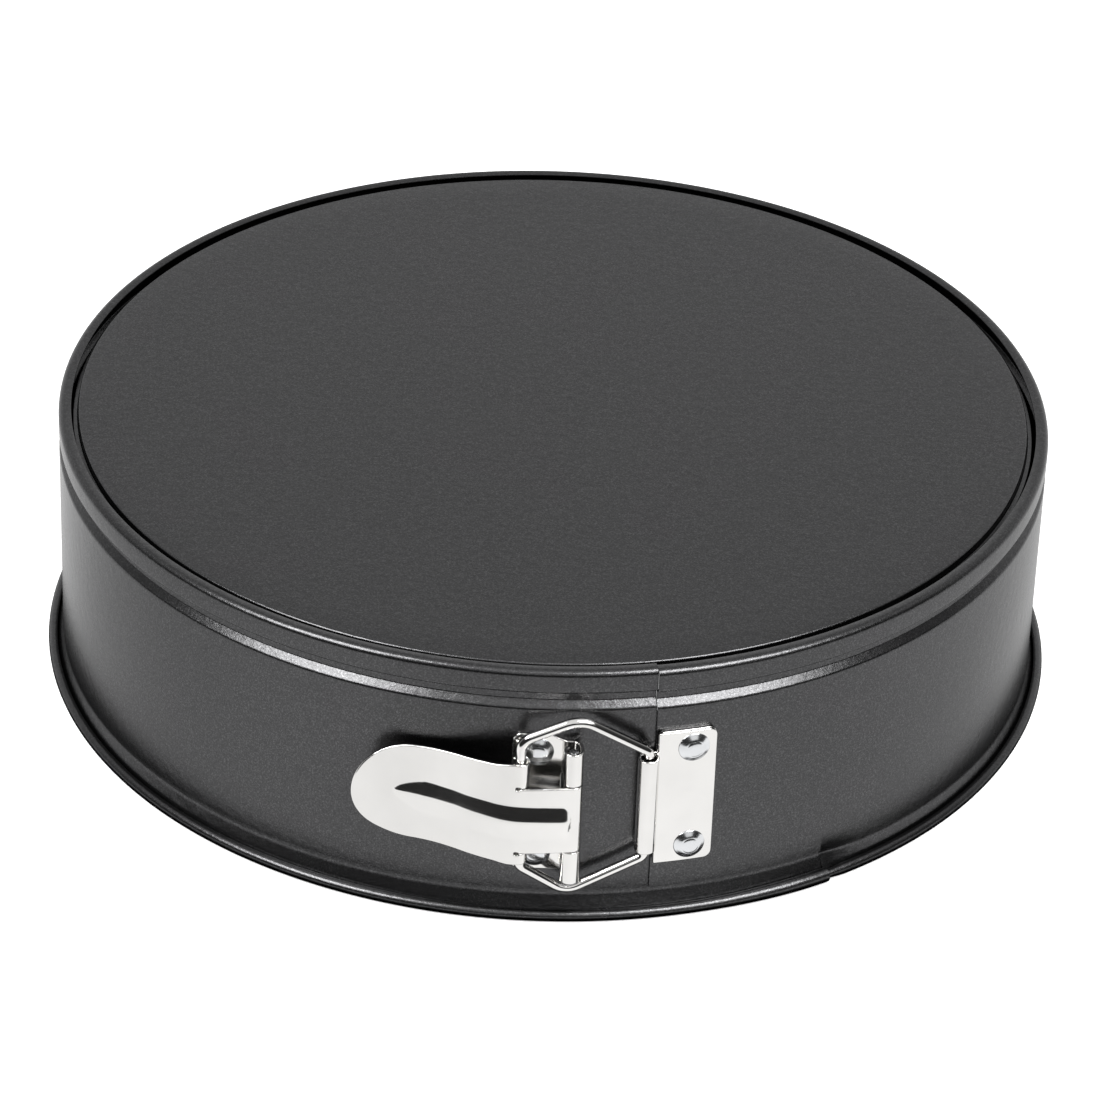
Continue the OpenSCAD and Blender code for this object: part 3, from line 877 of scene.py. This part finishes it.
def make_world():
    """White to the camera. In reflections it is a studio: pale behind the pan, and dark before it with
    a window high in the middle and a low one on the right.
    """
    world = bpy.data.worlds.new("studio")
    bpy.context.scene.world = world
    world.use_nodes = True
    w = Tree(world.node_tree)
    axes = w.add("ShaderNodeSeparateXYZ")
    w.link(w.add("ShaderNodeTexCoord").outputs["Generated"], axes.inputs["Vector"])
    x, y, z = (axes.outputs[k] for k in "XYZ")
    rear = w.ramp(z, [(0.0, 0.95), (0.3, 0.84), (0.5, 0.73), (0.57, 0.6), (0.8, 0.5), (1.0, 0.55)])
    front = w.ramp(z, [(0.0, 0.02), (0.45, 0.03), (0.6, 0.12), (0.75, 0.5), (0.86, 0.8), (1.0, 0.55)])
    aside = w.math("ABSOLUTE", x)
    high = w.math("MULTIPLY", w.spread(aside, 0.2, 0.38, 0.85, 0.0), w.spread(z, 0.34, 0.46, 0.0, 1.0))
    across = w.math("MULTIPLY", w.spread(x, 0.12, 0.22, 0.0, 1.0), w.spread(x, 0.62, 0.76, 1.0, 0.0))
    upward = w.math("MULTIPLY", w.spread(z, 0.27, 0.34, 0.0, 0.9), w.spread(z, 0.5, 0.62, 1.0, 0.0))
    windows = w.math("MAXIMUM", high, w.math("MULTIPLY", across, upward))
    mix = w.add("ShaderNodeMix", data_type="RGBA")
    w.link(w.spread(y, -0.1, 0.8, 0.0, 1.0), mix.inputs["Factor"])
    w.link(w.math("MAXIMUM", front, windows), mix.inputs[6])
    w.link(rear, mix.inputs[7])
    path = w.add("ShaderNodeLightPath")
    seen = w.add("ShaderNodeMix", data_type="RGBA", in_7=(1, 1, 1, 1))
    w.link(path.outputs["Is Camera Ray"], seen.inputs["Factor"])
    w.link(mix.outputs[2], seen.inputs[6])
    w.link(seen.outputs[2], w.tree.nodes["Background"].inputs["Color"])


def make_lamps():
    for name, azimuth, elevation, width, radiance in LAMPS:
        data = bpy.data.lights.new(name, "AREA")
        data.shape = "SQUARE"
        data.size = width
        data.energy = radiance * math.pi * width * width
        lamp = bpy.data.objects.new(name, data)
        bpy.context.collection.objects.link(lamp)
        a, e = math.radians(azimuth), math.radians(elevation)
        way = Vector((math.cos(a) * math.cos(e), math.sin(a) * math.cos(e), math.sin(e)))
        lamp.location = way * LAMP_REACH
        lamp.rotation_mode = "QUATERNION"
        lamp.rotation_quaternion = (-way).to_track_quat("-Z", "Y")
        lamp.visible_camera = False


# ---------------------------------------------------------------- the pan
coating = nonstick("nonstick_steel", 0.074, 0.27, 2400)
coating_base = nonstick("nonstick_base", 0.079, 0.27, 2400)
nickel = plated("plated_steel", (0.785, 0.775, 0.758), 0.10)
wire_plate = plated("plated_wire", (0.80, 0.79, 0.775), 0.08, 0.12, 0.3)
rivet_metal = plated("rivet_steel", (0.72, 0.73, 0.745), 0.16, 0.2)

left = band_half("band_latch_side", 90.0, LAP_END, True, coating)
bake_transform(left)
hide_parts("band_latch_half")
right = band_half("band_keeper_end", LAP_START, 450.0, False, coating)
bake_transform(right)
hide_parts("band_keeper_half")

link, link_middle = link_pieces(wire_plate)
riding = [
    (base_disc(coating_base), "base", "base_plate", "nonstick_base"),
    (lever_piece(nickel), "lever", "lever", "plated_steel"),
    (bracket_piece(nickel), "band", "latch_bracket", "plated_steel"),
    (keeper_piece(nickel), "band_keeper_side", "keeper_plate", "plated_steel"),
    (link, "link", "link_wire", "plated_wire"),
    (link_middle, "band_keeper_side", "link_wire_side", "plated_wire"),
    (hinge_pin(rivet_metal), "band", "lever_pin", "rivet_steel"),
]
for side, sign in (("upper", 1), ("lower", -1)):
    held = rivet(
        "bracket_rivet_" + side + "_head", -90.3, BRACKET_Z + sign * 15, BAND_R - LAYER + 0.9, 1.44, 0.6,
        rivet_metal,
    )
    riding.append((held, "band", "bracket_rivet_" + side, "rivet_steel"))
    held = rivet(
        "keeper_rivet_" + side + "_head", -73.45, LATCH_Z + sign * 14.45, BAND_R + 1.5, 2.0, 0, rivet_metal,
    )
    riding.append((held, "band_keeper_side", "keeper_rivet_" + side, "rivet_steel"))
for piece, body, node_name, slot_name in riding:
    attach(piece, body)
    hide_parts(node_name)

bpy.context.scene.view_settings.view_transform = "Standard"
make_floor()
make_world()
make_lamps()
make_camera()
